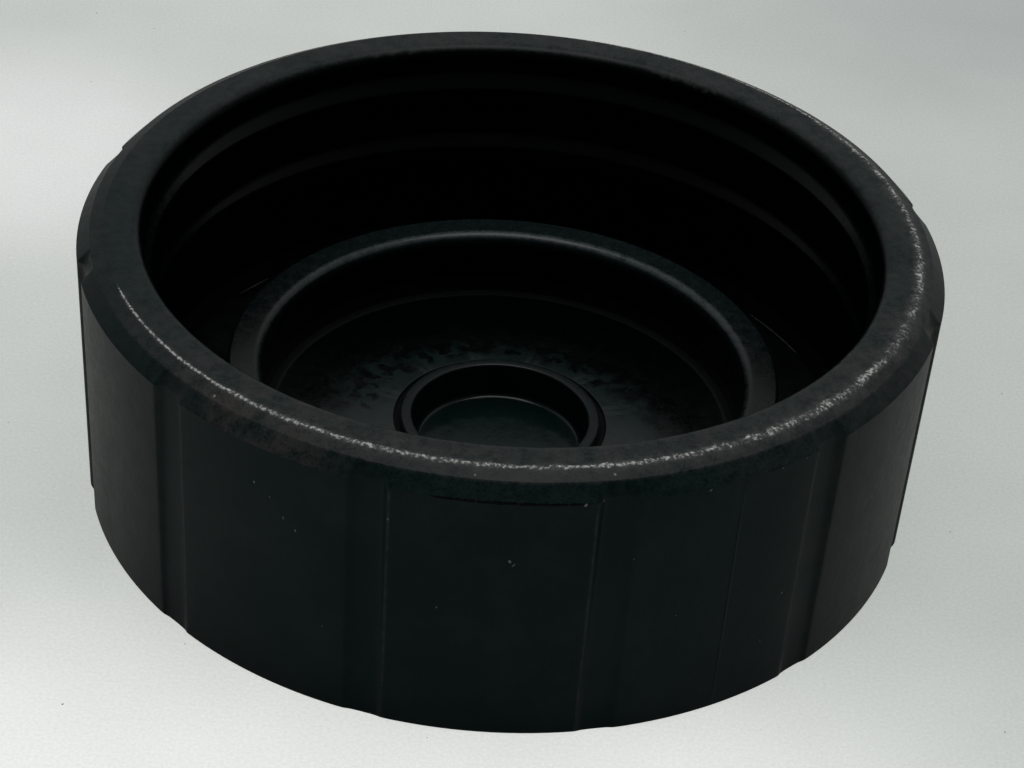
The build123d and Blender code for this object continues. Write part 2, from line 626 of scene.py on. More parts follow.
@dataclass(frozen=True)
class Wiring:
    """Places shader nodes in one node tree and links them."""

    tree: bpy.types.NodeTree

    def feed(self, socket: Socket, value: Value) -> None:
        """Link a socket to another one, or set its own value.

        Args:
            socket: The socket that takes the value.
            value: The other socket, a number or a colour.
        """
        if isinstance(value, Socket):
            self.tree.links.new(value, socket)
        elif isinstance(value, tuple) and socket.type == "RGBA":
            socket.default_value = (*value, 1)
        else:
            socket.default_value = value

    def put(
        self, kind: str, inputs: dict[str | int, Value] | None = None, **settings: object,
    ) -> bpy.types.Node:
        """Add a node.

        Args:
            kind: The node's type.
            inputs: What goes into its named inputs.
            settings: The node's own settings.

        Returns:
            The new node.
        """
        node = self.tree.nodes.new(kind)
        for name, value in settings.items():
            setattr(node, name, value)
        for name, value in (inputs or {}).items():
            self.feed(node.inputs[name], value)
        return node

    def calc(self, operation: str, *values: Value) -> Socket:
        """Work out one number from others with a Math node.

        Args:
            operation: The node's operation.
            values: The numbers that go in.

        Returns:
            The result.
        """
        node = self.put("ShaderNodeMath", operation=operation)
        for socket, value in zip(node.inputs, values):
            self.feed(socket, value)
        return node.outputs[0]

    def scaled(self, value: Value, factor: Value, offset: Value) -> Socket:
        """Multiply a number by a factor and add an offset to it."""
        return self.calc("MULTIPLY_ADD", value, factor, offset)

    def times(self, first: Socket, *others: Value) -> Socket:
        """Multiply numbers.

        Args:
            first: The first number.
            others: The numbers that it is multiplied by.

        Returns:
            The product.
        """
        product = first
        for value in others:
            product = self.calc("MULTIPLY", product, value)
        return product

    def ease(self, value: Value, start: Value, end: Value) -> Socket:
        """Rise smoothly from 0 at the start to 1 at the end.

        Args:
            value: The number that moves.
            start: Where the result is 0.
            end: Where the result is 1.

        Returns:
            The result, from 0 to 1.
        """
        limits = {"Value": value, "From Min": start, "From Max": end}
        return self.put("ShaderNodeMapRange", limits, interpolation_type="SMOOTHSTEP").outputs[0]

    def noise(self, place: Value, size: Value, detail: float = 2.0, roughness: float = 0.5) -> Socket:
        """Read a cloud pattern.

        Args:
            place: The point in millimetres.
            size: The size of its clouds in millimetres.
            detail: How many finer layers it has.
            roughness: How strong those are.

        Returns:
            A number round 0.5.
        """
        scale = self.calc("DIVIDE", 1.0, size) if isinstance(size, Socket) else 1.0 / size
        inputs = {"Vector": place, "Scale": scale, "Detail": detail, "Roughness": roughness}
        return self.put("ShaderNodeTexNoise", inputs).outputs[0]

    def blend(self, share: Value, first: Value, second: Value) -> Socket:
        """Mix two colours.

        Args:
            share: How much of the second there is.
            first: The first colour.
            second: The second colour.

        Returns:
            The mixed colour.
        """
        node = self.put("ShaderNodeMix", data_type="RGBA")
        for number, value in zip(COLOUR_MIX_INPUTS, (share, first, second)):
            self.feed(node.inputs[number], value)
        return node.outputs[COLOUR_MIX_OUTPUT]

    def bump(self, rise: Socket, depth: float, strength: float = 0.5) -> Socket:
        """Turn a height into bent normals.

        Args:
            rise: The height, as a number round 1.
            depth: How deep it reaches, in millimetres.
            strength: How much of it shows.

        Returns:
            The normals.
        """
        inputs = {"Height": rise, "Strength": strength, "Distance": depth * MILLIMETRE}
        return self.put("ShaderNodeBump", inputs).outputs["Normal"]

    def millimetres(self) -> Socket:
        """Read the point on the object.

        Returns:
            The point in millimetres.
        """
        place = self.put("ShaderNodeTexCoord").outputs["Object"]
        scaled = self.put("ShaderNodeVectorMath", {"Vector": place}, operation="SCALE")
        scaled.inputs["Scale"].default_value = 1 / MILLIMETRE
        return scaled.outputs[0]

    def along(self, angle: Value, stops: Stops) -> Socket:
        """Read a number that changes round the axis.

        Args:
            angle: The angle in degrees, from -180 to 180.
            stops: Pairs of an angle and the number there, in order, at most 32.

        Returns:
            The number at that angle.
        """
        share = self.scaled(angle, 1 / FULL_TURN, 0.5)
        node = self.put("ShaderNodeValToRGB", {"Fac": share})
        elements = node.color_ramp.elements
        elements.remove(elements[1])
        for number, (degrees, value) in enumerate(stops):
            position = (degrees + FULL_TURN / 2) / FULL_TURN
            element = elements[0] if number == 0 else elements.new(position)
            element.position = position
            element.color = (value, value, value, 1)
        return node.outputs["Color"]


class Effect:
    """A look that several finishes share, kept as one shader node group."""

    name: str
    inputs: dict[str, float]
    outputs: tuple[str, ...]

    def wire(self, wiring: Wiring, given: Sockets) -> tuple[Socket, ...]:
        """Wire the group's nodes.

        Args:
            wiring: The group's own wiring.
            given: The group's inputs.

        Returns:
            One socket for each of the group's outputs.
        """
        raise NotImplementedError

    def group(self) -> bpy.types.NodeTree:
        """Build the group once, and give the same one back after that.

        Returns:
            The group.
        """
        known = bpy.data.node_groups.get(self.name)
        if known:
            return known
        tree = bpy.data.node_groups.new(self.name, "ShaderNodeTree")
        for name, value in self.inputs.items():
            socket = tree.interface.new_socket(name, in_out="INPUT", socket_type="NodeSocketFloat")
            socket.default_value = value
        for name in self.outputs:
            tree.interface.new_socket(name, in_out="OUTPUT", socket_type="NodeSocketFloat")
        wiring = Wiring(tree)
        given = wiring.put("NodeGroupInput")
        results = self.wire(wiring, given.outputs)
        wiring.put("NodeGroupOutput", dict(zip(self.outputs, results)))
        return tree

    def place(self, wiring: Wiring, **values: Value) -> Sockets:
        """Place the group in a finish.

        Args:
            wiring: The finish's wiring.
            values: What goes into the group's inputs.

        Returns:
            The group's outputs.
        """
        node = wiring.put("ShaderNodeGroup", node_tree=self.group())
        for name, value in values.items():
            wiring.feed(node.inputs[name], value)
        return node.outputs


class PlaceOnCap(Effect):
    """Where a point lies on the cap: millimetres from the axis and above the closed face, and degrees."""

    name = "place_on_cap"
    inputs: dict[str, float] = {}
    outputs = ("radius", "height", "angle")

    def wire(self, wiring: Wiring, given: Sockets) -> tuple[Socket, ...]:
        """Turn the point into a radius, a height and an angle.

        Args:
            wiring: The group's own wiring.
            given: The group's inputs; not used, as this group has none.

        Returns:
            The radius, the height and the angle.
        """
        x, y, z = wiring.put("ShaderNodeSeparateXYZ", {"Vector": wiring.millimetres()}).outputs
        square = wiring.scaled(x, x, wiring.times(y, y))
        angle = wiring.calc("DEGREES", wiring.calc("ARCTAN2", y, x))
        return wiring.calc("SQRT", square), z, angle


class FineGrain(Effect):
    """The fine grain of a moulded skin: its height for a bump, and its tone for colour and roughness."""

    name = "fine_grain"
    inputs = {"size": 0.16, "swell": 1.6}
    outputs = ("rise", "tone")
    swell_height = 1.5
    swell_share = 0.45
    fine_share = 0.55
    tone_span: Span = (0.3, 0.7)

    def wire(self, wiring: Wiring, given: Sockets) -> tuple[Socket, ...]:
        """Lay a fine grain over a slow swell.

        Args:
            wiring: The group's own wiring.
            given: The group's inputs.

        Returns:
            The rise and the tone.
        """
        place = wiring.millimetres()
        fine = wiring.noise(place, given["size"], roughness=0.6)
        slow = wiring.noise(place, given["swell"])
        rise = wiring.scaled(slow, self.swell_height, fine)
        mixed = wiring.scaled(slow, self.swell_share, wiring.times(fine, self.fine_share))
        return rise, wiring.ease(mixed, *self.tone_span)


class CloudyPatches(Effect):
    """Soft patches, such as handling marks or a thin film."""

    name = "cloudy_patches"
    inputs = {"size": 5.0, "start": 0.45, "end": 0.65, "shift": 0.0}
    outputs = ("mask",)

    def wire(self, wiring: Wiring, given: Sockets) -> tuple[Socket, ...]:
        """Cut soft patches out of a cloud pattern.

        Args:
            wiring: The group's own wiring.
            given: The group's inputs.

        Returns:
            The patches' mask.
        """
        inputs = {0: wiring.millimetres(), 1: given["shift"]}
        moved = wiring.put("ShaderNodeVectorMath", inputs, operation="ADD").outputs[0]
        cloud = wiring.noise(moved, given["size"], detail=4.0, roughness=0.6)
        return (wiring.ease(cloud, given["start"], given["end"]),)


class ScatteredSpecks(Effect):
    """Dust specks of uneven size, strewn thinly."""

    name = "scattered_specks"
    inputs = {"spacing": 3.0, "size": 0.2, "share": 0.5}
    outputs = ("mask",)
    ragged_size = 0.12
    ragged_play = 1.6
    size_play = 0.8
    least = 0.3
    core = 0.5

    def wire(self, wiring: Wiring, given: Sockets) -> tuple[Socket, ...]:
        """Keep a share of the cells of a cell pattern and put one speck in each.

        Args:
            wiring: The group's own wiring.
            given: The group's inputs.

        Returns:
            The specks' mask.
        """
        place = wiring.millimetres()
        ragged = wiring.noise(place, self.ragged_size, detail=1.0)
        scale = wiring.calc("DIVIDE", 1.0, given["spacing"])
        cells = wiring.put("ShaderNodeTexVoronoi", {"Vector": place, "Scale": scale})
        chance, luck, _ = wiring.put("ShaderNodeSeparateColor", {"Color": cells.outputs["Color"]}).outputs
        away = wiring.times(cells.outputs["Distance"], given["spacing"])
        uneven = wiring.times(away, wiring.scaled(ragged, self.ragged_play, self.least))
        reach = wiring.times(given["size"], wiring.scaled(luck, self.size_play, self.least))
        dot = wiring.ease(uneven, reach, wiring.times(reach, self.core))
        return (wiring.times(dot, wiring.calc("LESS_THAN", chance, given["share"])),)


class WearGrain(Effect):
    """The patterns that break edge marks up: small crumbs, soft haze, and gaps between clusters."""

    name = "wear_grain"
    inputs = {"crumb": 0.32, "gap": 1.4}
    outputs = ("crumbs", "haze", "gaps")
    haze_size = 0.7

    def wire(self, wiring: Wiring, given: Sockets) -> tuple[Socket, ...]:
        """Read three cloud patterns of their own sizes.

        Args:
            wiring: The group's own wiring.
            given: The group's inputs.

        Returns:
            The crumbs, the haze and the gaps.
        """
        place = wiring.millimetres()
        crumbs = wiring.noise(place, given["crumb"], roughness=0.65)
        haze = wiring.noise(place, self.haze_size, roughness=0.6)
        return crumbs, haze, wiring.noise(place, given["gap"], detail=1.0)


class EdgeMarks(Effect):
    """Marks along an edge that runs round the axis: flaky marks with light cores, and a zone beside them. They
    serve as wear, as painted highlights and as painted shade.
    """

    name = "edge_marks"
    inputs = {
        "radius": 0.0, "height": 0.0, "crumbs": 0.5, "haze": 0.5, "gaps": 0.5,
        "edge radius": 34.0, "edge height": 25.0, "width": 0.3,
    }
    outputs = ("flakes", "core", "scuff")
    thinnest = 0.001
    limit_by_width = 0.42
    least_limit = 0.27
    cluster_depth = 0.5
    clustered_widths: Span = (0.12, 0.4)
    thinning = 0.16
    present_widths: Span = (0.01, 0.08)
    flake_span: Span = (-0.12, 0.12)
    core_span: Span = (0.05, 0.28)
    scuff_by_haze = 2.0
    scuff_fading = 0.3
    scuff_span: Span = (0.1, 1.1)

    def wire(self, wiring: Wiring, given: Sockets) -> tuple[Socket, ...]:
        """Break a band along the edge up into flakes that thin out with distance.

        Args:
            wiring: The group's own wiring.
            given: The group's inputs.

        Returns:
            The flakes, their cores and the zone beside them.
        """
        width = given["width"]
        wander = wiring.times(wiring.calc("SUBTRACT", given["gaps"], NOISE_MIDDLE), width)
        out = wiring.calc("ADD", wiring.calc("SUBTRACT", given["radius"], given["edge radius"]), wander)
        up = wiring.calc("SUBTRACT", given["height"], given["edge height"])
        square = wiring.scaled(out, out, wiring.times(up, up))
        wide = wiring.calc("MAXIMUM", width, self.thinnest)
        away = wiring.calc("DIVIDE", wiring.calc("SQRT", square), wide)
        sparse = wiring.scaled(width, self.limit_by_width, self.least_limit)
        clustered = wiring.scaled(given["gaps"], -self.cluster_depth, self.cluster_depth / 2)
        clustered = wiring.times(clustered, wiring.ease(width, *self.clustered_widths))
        thinned = wiring.times(away, away, self.thinning)
        limit = wiring.calc("ADD", wiring.calc("ADD", sparse, clustered), thinned)
        present = wiring.ease(width, *self.present_widths)
        strength = wiring.calc("SUBTRACT", given["crumbs"], limit)
        flakes = wiring.times(wiring.ease(strength, *self.flake_span), present)
        core = wiring.times(wiring.ease(strength, *self.core_span), present)
        spread = wiring.scaled(away, -self.scuff_fading, wiring.times(given["haze"], self.scuff_by_haze))
        scuff = wiring.times(wiring.ease(spread, *self.scuff_span), present)
        return flakes, core, scuff


@dataclass(frozen=True)
class Speck:
    """A single dust speck: its angle and height, its size in millimetres and the degrees that it leans."""

    angle: float
    height: float
    length: float = 0.3
    width: float = 0.16
    lean: float = 0.0


@dataclass(frozen=True)
class MarkedEdge:
    """An edge with flaky marks: its circle in millimetres, and how wide the marks are at places round it. The
    rim's edges carry wear, the mouth's wear and painted highlights, the seal's painted highlights, and the
    pads' upper edge painted shade.
    """

    radius: float
    height: float
    widths: Stops

    def marks(self, wiring: Wiring, place: Sockets, wear: Sockets) -> Sockets:
        """Lay the marks along the edge.

        Args:
            wiring: The finish's wiring.
            place: The point's radius, height and angle.
            wear: The patterns that break the wear up.

        Returns:
            The marks' flakes, their cores and the zone beside them.
        """
        values = {"edge radius": self.radius, "edge height": self.height}
        values |= {"radius": place["radius"], "height": place["height"]}
        values |= {name: wear[name] for name in WearGrain.outputs}
        return EdgeMarks().place(wiring, width=wiring.along(place["angle"], self.widths), **values)


@dataclass(frozen=True)
class MouldedPlastic:
    """Matte black moulded plastic, with its wear, its dust and the dried film on its floor, and with painted
    light: highlights on the mouth edge, the groove edges and the standing ring, sheen on the skirt's sides,
    and shade inside, in the moat, at the recess's edge and along the pads' upper edge.

    A span holds where a mask is 0 and where it is 1: millimetres above the closed face in the heights,
    and from the axis in the radii.
    """

    skin: Colour = (0.0001, 0.0046, 0.0046)
    dusty_skin: Colour = (0.0030, 0.0080, 0.0078)
    rim_skin: Colour = (0.0010, 0.0032, 0.0032)
    # Painted sheen on the skirt's left and right sides, mottled like dust.
    side_sheen_grey: Colour = (0.033, 0.0325, 0.031)
    # Painted shade: the inside's skin, far darker than the outer skin of the same plastic.
    shaded_inner_skin: Colour = (0.0001, 0.0004, 0.0004)
    # Painted light on the standing ring's top, strongest where ring_light is high.
    ring_top_painted_light: Colour = (0.0040, 0.0070, 0.0070)
    # Painted highlight along the standing ring's inner round edge.
    ring_edge_highlight: Colour = (0.020, 0.026, 0.026)
    cool_haze: Colour = (0.0135, 0.0165, 0.0160)
    warm_stain: Colour = (0.0210, 0.0190, 0.0180)
    film: Colour = (0.0036, 0.0068, 0.0066)
    collar_film: Colour = (0.0010, 0.0028, 0.0028)
    # Painted shade at the recess's edge; the recess lightens to pool_film towards its middle.
    shaded_pool_rim: Colour = (0.0010, 0.0030, 0.0030)
    pool_film: Colour = (0.0014, 0.0042, 0.0041)
    # Dark drops on the floor; the same near-black is the painted shade in the moat round the collar.
    droplet_and_moat_shade: Colour = (0.0001, 0.0003, 0.0003)
    # Grey of scuff wear, also used for the painted highlights on the groove edges and the painted sheen beside
    # the mouth edge's painted highlights.
    scuff_and_highlight_grey: Colour = (0.030, 0.032, 0.031)
    # Grey flakes of wear, also the painted highlight on the mouth edge.
    grey_flake_and_glint: Colour = (0.048, 0.050, 0.048)
    # Light cores of wear, also the painted highlight on the mouth edge.
    bare_and_glint: Colour = (0.235, 0.24, 0.232)
    # Near-black painted shade along the pads' upper edge.
    painted_pad_edge_shade: Colour = (0.0001, 0.0002, 0.0002)
    dust: Colour = (0.085, 0.09, 0.085)
    outside_specular: float = 0.041
    inside_specular: float = 0.085
    skirt_roughness: float = 0.45
    rim_roughness: float = 0.44
    mouth_roughness: float = 0.34
    ring_roughness: float = 0.24
    floor_roughness: float = 0.17
    collar_roughness: float = 0.3
    corner_roughness: float = 0.95
    wear_and_painted_marks_roughness: float = 0.75
    grain_depth: float = 0.026
    inside_grain_depth: float = 0.005
    grain_size: float = 0.22
    grain_swell: float = 0.9
    skirt_radius: float = 36.0
    groove_step: float = 30.0
    first_groove_angle: float = 15.0
    quarter_turn: float = 90.0
    groove_half_width: float = 1.66
    roughness_play: float = 0.14
    dusty_gain: float = 0.8
    dusty_grain: float = 0.9
    # Painted highlights along one upright edge of each finger groove.
    groove_line_width: Span = (0.16, 0.03)
    groove_line_haze: Span = (0.3, 0.62)
    groove_line_heights: Span = (23.4, 22.8)
    groove_highlight_share: float = 0.34
    side_cloud_gain: float = 0.32
    side_grain_gain: float = 0.6
    side_least: float = 0.2
    strewn_share: float = 0.08
    speck_overlap: Span = (22.8, 23.6)
    speck_raggedness: float = 1.6
    speck_edge: Span = (1.15, 0.7)
    speck_radii: Span = (34.0, 34.4)
    scuff_share: float = 0.55
    bevel_heights: Span = (24.2, 24.5)
    bevel_radii: Span = (34.0, 34.3)
    bevel_gain: float = 0.55
    haze_by_grain: float = 0.75
    haze_by_stain: float = 0.35
    mouth_radii: Span = (31.4, 31.0)
    polished_radii: Span = (31.75, 31.35)
    ring_heights: Span = (9.6, 10.3)
    ring_radii: Span = (27.0, 26.0)
    ring_grain_gain: float = 0.6
    ring_least: float = 0.5
    ring_highlight_radii: Span = (21.75, 21.45)
    ring_highlight_end: Span = (20.85, 21.0)
    ring_highlight_grain: Span = (-0.3, 0.8)
    floor_heights: Span = (5.6, 5.5)
    film_scale: float = 20.0
    film_raggedness: float = 7.0
    film_cloud_size: float = 2.0
    film_edge: Span = (2.0, -2.5)
    film_radii: Span = (17.0, 16.0)
    droplet_size: float = 1.2
    droplet_clouds: Span = (0.5, 0.58)
    droplet_start: Span = (9.8, 10.6)
    droplet_end: Span = (15.0, 13.0)
    droplet_angles: Span = (15.0, 40.0)
    droplet_share: float = 0.9
    moat_radii: Span = (9.4, 9.25)
    collar_radii: Span = (8.9, 8.75)
    recess_radii: Span = (7.6, 7.4)
    pool_radii: Span = (6.4, 3.0)
    smooth_heights: Span = (7.0, 5.8)
    smooth_collar_radii: Span = (9.0, 8.7)
    smooth_collar_heights: Span = (4.8, 5.1)
    dirty_moat_end: Span = (8.7, 8.8)
    dirty_corner_radii: Span = (19.6, 20.2)
    film_reach: Stops = (
        (-180, 0.74), (-120, 0.74), (0, 0.72), (30, 0.62), (60, 0.55), (110, 0.55), (140, 0.62),
        (165, 0.72), (180, 0.74),
    )
    # How strong the painted light on the standing ring is round it: most at the back right.
    ring_light: Stops = (
        (-180, 0.1), (-90, 0.1), (0, 0.15), (30, 0.7), (60, 1.0), (120, 0.75), (150, 0.45), (180, 0.1),
    )
    rim_edge: MarkedEdge = MarkedEdge(34.0, 24.95, (
        (-180, 0.02), (-157, 0.02), (-154, 0.09), (-130, 0.12), (-126, 0.18), (-112, 0.2), (-100, 0.24),
        (-90, 0.24), (-87.5, 0.1), (-85, 0.22), (-81, 0.22), (-79.5, 0.1), (-77, 0.24), (-62, 0.28),
        (-50, 0.42), (-36, 0.42), (-31, 0.26), (-22, 0.5), (-12, 0.42), (0, 0.34), (14, 0.4), (25, 0.34),
        (37, 0.28), (44, 0.1), (52, 0.16), (58, 0.05), (75, 0.1), (88, 0.03), (140, 0.04), (150, 0.02),
        (180, 0.02),
    ))
    # Wear all round the mouth edge, and two short arcs at the back where its marks are painted highlight.
    mouth_edge_wear_and_highlight: MarkedEdge = MarkedEdge(31.0, 24.9, (
        (-180, 0.02), (-150, 0.03), (-110, 0.05), (-60, 0.05), (-20, 0.03), (20, 0.02), (50, 0.03),
        (56, 0.16), (66, 0.18), (72, 0.04), (100, 0.03), (109, 0.14), (117, 0.12), (122, 0.03), (180, 0.02),
    ))
    bevel_edge: MarkedEdge = MarkedEdge(35.15, 24.4, (
        (-180, 0.0), (30, 0.0), (45, 0.2), (60, 0.24), (90, 0.2),
        (140, 0.14), (165, 0.0), (180, 0.0),
    ))
    # Painted shade: a thin dark band along the pads' upper edge, where each pad meets the chamfer.
    shaded_pad_edge: MarkedEdge = MarkedEdge(36.2, 23.15, (
        (-180, 0.0), (-99, 0.0), (-96, 0.09), (-88, 0.11), (-80, 0.08), (-77, 0.0), (-60, 0.0),
        (-54, 0.06), (-50, 0.0), (180, 0.0),
    ))
    rim_haze: Stops = (
        (-180, 0.3), (-165, 0.35), (-150, 0.45), (-135, 0.8), (-105, 0.95), (-75, 1.0), (-45, 0.9),
        (-15, 0.8), (0, 0.7), (30, 0.8), (60, 0.95), (80, 1.0), (105, 1.0), (135, 0.75), (165, 0.5),
        (180, 0.3),
    )
    chamfer_haze: Stops = (
        (-180, 0.3), (-140, 0.1), (-130, 0.35), (-126, 1.0), (-114, 0.9), (-108, 0.1), (-70, 0.05),
        (-60, 0.3), (-45, 0.4), (-30, 0.6), (-15, 0.9), (180, 0.5),
    )
    stain_share: Stops = (
        (-180, 0.2), (-140, 0.2), (-126, 0.9), (-112, 0.8), (-100, 0.5), (-80, 0.35), (-50, 0.3),
        (-30, 0.6), (0, 0.2), (180, 0.2),
    )
    # How much painted sheen the skirt's sides take round it: none on the front, most at the left and right.
    side_sheen_share: Stops = (
        (-180, 0.8), (-160, 0.9), (-148, 0.8), (-139, 0.25), (-132, 0.0), (-52, 0.0), (-46, 0.12),
        (-38, 0.35), (-30, 0.75), (-15, 0.9), (0, 0.7), (20, 0.3), (160, 0.3), (180, 0.8),
    )
    specks: tuple[Speck, ...] = (
        Speck(-120.2, 19.7, 0.22, 0.15), Speck(-117.9, 18.9, 0.16, 0.12), Speck(-116.0, 17.4, 0.28, 0.1, 20),
        Speck(-114.3, 16.6, 0.2, 0.13), Speck(-102.4, 20.2, 0.22, 0.14), Speck(-87.6, 17.65, 0.34, 0.2, 30),
        Speck(-87.1, 17.3, 0.4, 0.1, -40), Speck(-79.2, 23.05, 0.2, 0.3, 60), Speck(-76.9, 23.1, 0.16, 0.2),
        Speck(-72.5, 17.4, 0.16, 0.13), Speck(-63.6, 22.95, 0.3, 0.12, -50), Speck(-52.3, 5.4, 0.22, 0.14),
        Speck(-49.8, 9.7, 0.22, 0.12), Speck(-146.7, 12.4, 0.3, 0.1, 15), Speck(-53.3, 23.0, 0.16, 0.14),
        Speck(-49.5, 23.0, 0.16, 0.12), Speck(-128.5, 24.55, 0.12, 0.24), Speck(-75.3, 24.62, 0.1, 0.2),
        Speck(-92.5, 24.55, 0.09, 0.18), Speck(-150.5, 16.0, 0.16, 0.1), Speck(-33.0, 14.0, 0.2, 0.12),
        Speck(-96.0, 12.5, 0.14, 0.1), Speck(-66.0, 11.0, 0.12, 0.1), Speck(-110.5, 8.0, 0.14, 0.1),
    )

    def skin_colour(self, wiring: Wiring, tone: Socket) -> Socket:
        """Colour the bare outer skin, with dusty patches.

        Args:
            wiring: The finish's wiring.
            tone: The tone of the grain.

        Returns:
            The colour.
        """
        dusty = CloudyPatches().place(wiring, size=6.0, start=0.35, end=0.75)["mask"]
        grainy = wiring.scaled(tone, self.dusty_grain, -self.dusty_grain / 2)
        patchy = wiring.scaled(dusty, self.dusty_gain, grainy)
        return wiring.blend(patchy, self.skin, self.dusty_skin)

    def groove_edge_highlights(self, wiring: Wiring, place: Sockets, haze: Socket) -> Socket:
        """Find the painted highlights on the upright edges of the finger grooves: a thin lighter stripe on one
        edge of each groove, the edge chosen by which half of the cap, left or right, it lies on.

        Args:
            wiring: The finish's wiring.
            place: The point's radius, height and angle.
            haze: A cloud pattern that breaks the lines up.

        Returns:
            The mask.
        """
        turned = wiring.calc("SUBTRACT", place["angle"], self.first_groove_angle - self.groove_step / 2)
        turned = wiring.calc("FLOORED_MODULO", turned, self.groove_step)
        within = wiring.calc("SUBTRACT", turned, self.groove_step / 2)
        across = wiring.times(within, math.radians(self.skirt_radius))
        past = wiring.calc("SUBTRACT", wiring.calc("ABSOLUTE", place["angle"]), self.quarter_turn)
        edge = wiring.times(wiring.calc("SIGN", past), self.groove_half_width)
        away = wiring.calc("ABSOLUTE", wiring.calc("SUBTRACT", across, edge))
        line = wiring.ease(away, *self.groove_line_width)
        broken = wiring.ease(haze, *self.groove_line_haze)
        return wiring.times(line, broken, wiring.ease(place["height"], *self.groove_line_heights))

    def skirt_colour(self, wiring: Wiring, place: Sockets, tone: Socket) -> tuple[Socket, Socket]:
        """Colour the skirt, with its single specks and strewn dust, painted sheen on its left and right sides,
        painted highlights on the groove edges and painted shade along the pads' upper edge.

        Args:
            wiring: The finish's wiring.
            place: The point's radius, height and angle.
            tone: The tone of the grain.

        Returns:
            The colour, and the painted shade along the pads' upper edge, where the roughness also rises.
        """
        wear = WearGrain().place(wiring)
        colour = self.skin_colour(wiring, tone)
        # Painted sheen: a dust-like mottle laid only on the left and right sides of the skirt.
        cloudy = CloudyPatches().place(wiring, size=2.2, start=0.3, end=0.68, shift=17.0)["mask"]
        grainy = wiring.scaled(tone, self.side_grain_gain, self.side_least)
        dusty = wiring.scaled(cloudy, self.side_cloud_gain, grainy)
        dusty = wiring.times(dusty, wiring.along(place["angle"], self.side_sheen_share))
        colour = wiring.blend(dusty, colour, self.side_sheen_grey)
        # Painted highlights: thin lighter stripes on one upright edge of each finger groove.
        lines = self.groove_edge_highlights(wiring, place, wear["haze"])
        colour = wiring.blend(wiring.times(lines, self.groove_highlight_share), colour, self.scuff_and_highlight_grey)
        # Painted shade: a thin dark band along the pads' upper edge.
        pad_edge_shade = self.shaded_pad_edge.marks(wiring, place, wear)["flakes"]
        colour = wiring.blend(pad_edge_shade, colour, self.painted_pad_edge_shade)
        strewn = ScatteredSpecks().place(wiring, spacing=2.6, size=0.1, share=0.22)["mask"]
        colour = wiring.blend(wiring.times(strewn, self.strewn_share), colour, self.dust)
        low_specks = [speck for speck in self.specks if speck.height < self.speck_overlap[1]]
        dusted = self.dust_mask(wiring, place, wear["haze"], low_specks)
        return wiring.blend(dusted, colour, self.dust), pad_edge_shade

    def rim_colour(self, wiring: Wiring, place: Sockets, tone: Socket) -> tuple[Socket, Socket]:
        """Colour the flat rim, the bevel and the chamfer, with warm haze, wear on the edges, painted
        highlights on the mouth edge, and painted shade into the mouth and along the pads' upper edge.

        Args:
            wiring: The finish's wiring.
            place: The point's radius, height and angle.
            tone: The tone of the grain.

        Returns:
            The colour, and the flakes of wear and of painted highlight on its edges.
        """
        colour = wiring.blend(tone, self.rim_skin, self.dusty_skin)
        stain = CloudyPatches().place(wiring, size=2.4, start=0.3, end=0.66, shift=31.0)["mask"]
        top = wiring.ease(place["height"], *self.bevel_heights)
        bevel = wiring.scaled(wiring.ease(place["radius"], *self.bevel_radii), self.bevel_gain, 1.0)
        rim = wiring.times(top, bevel, wiring.along(place["angle"], self.rim_haze))
        below = wiring.calc("SUBTRACT", 1.0, top)
        chamfer = wiring.times(below, wiring.along(place["angle"], self.chamfer_haze))
        mottled = wiring.scaled(tone, self.haze_by_grain, wiring.times(stain, self.haze_by_stain))
        share = wiring.times(mottled, wiring.calc("ADD", rim, chamfer))
        warmth = wiring.times(stain, wiring.along(place["angle"], self.stain_share))
        tint = wiring.blend(warmth, self.cool_haze, self.warm_stain)
        colour = wiring.blend(share, colour, tint)
        # Painted shade: the rim darkens into the inside's shaded skin towards the mouth.
        colour = wiring.blend(wiring.ease(place["radius"], *self.mouth_radii), colour, self.shaded_inner_skin)
        wear = WearGrain().place(wiring)
        # Painted shade: a thin dark band along the pads' upper edge.
        pad_edge_shade = self.shaded_pad_edge.marks(wiring, place, wear)["flakes"]
        colour = wiring.blend(pad_edge_shade, colour, self.painted_pad_edge_shade)
        # The mouth edge's marks are partly wear and partly painted highlight.
        edges = (self.bevel_edge, self.mouth_edge_wear_and_highlight, self.rim_edge)
        colour, wear_and_painted_marks = self.wear_and_glint_colour(wiring, place, wear, colour, edges)
        high_specks = [speck for speck in self.specks if speck.height > self.speck_overlap[0]]
        dusted = self.dust_mask(wiring, place, wear["haze"], high_specks)
        return wiring.blend(dusted, colour, self.dust), wear_and_painted_marks

    def wear_and_glint_colour(
        self, wiring: Wiring, place: Sockets, wear: Sockets, skin: Socket, edges: tuple[MarkedEdge, ...],
    ) -> tuple[Socket, Socket]:
        """Wear some edges, and paint highlights along the mouth edge with the same marks.

        Args:
            wiring: The finish's wiring.
            place: The point's radius, height and angle.
            wear: The patterns that break the wear up.
            skin: The colour of the unworn skin.
            edges: The edges to wear.

        Returns:
            The colour, and the flakes of wear and of painted highlight.
        """
        colour = skin
        wear_and_painted_marks = None
        for edge in edges:
            marks = edge.marks(wiring, place, wear)
            colour = wiring.blend(wiring.times(marks["scuff"], self.scuff_share), colour, self.scuff_and_highlight_grey)
            colour = wiring.blend(marks["flakes"], colour, self.grey_flake_and_glint)
            colour = wiring.blend(marks["core"], colour, self.bare_and_glint)
            wear_and_painted_marks = marks["flakes"] if wear_and_painted_marks is None else wiring.calc("MAXIMUM", wear_and_painted_marks, marks["flakes"])
        return colour, wear_and_painted_marks

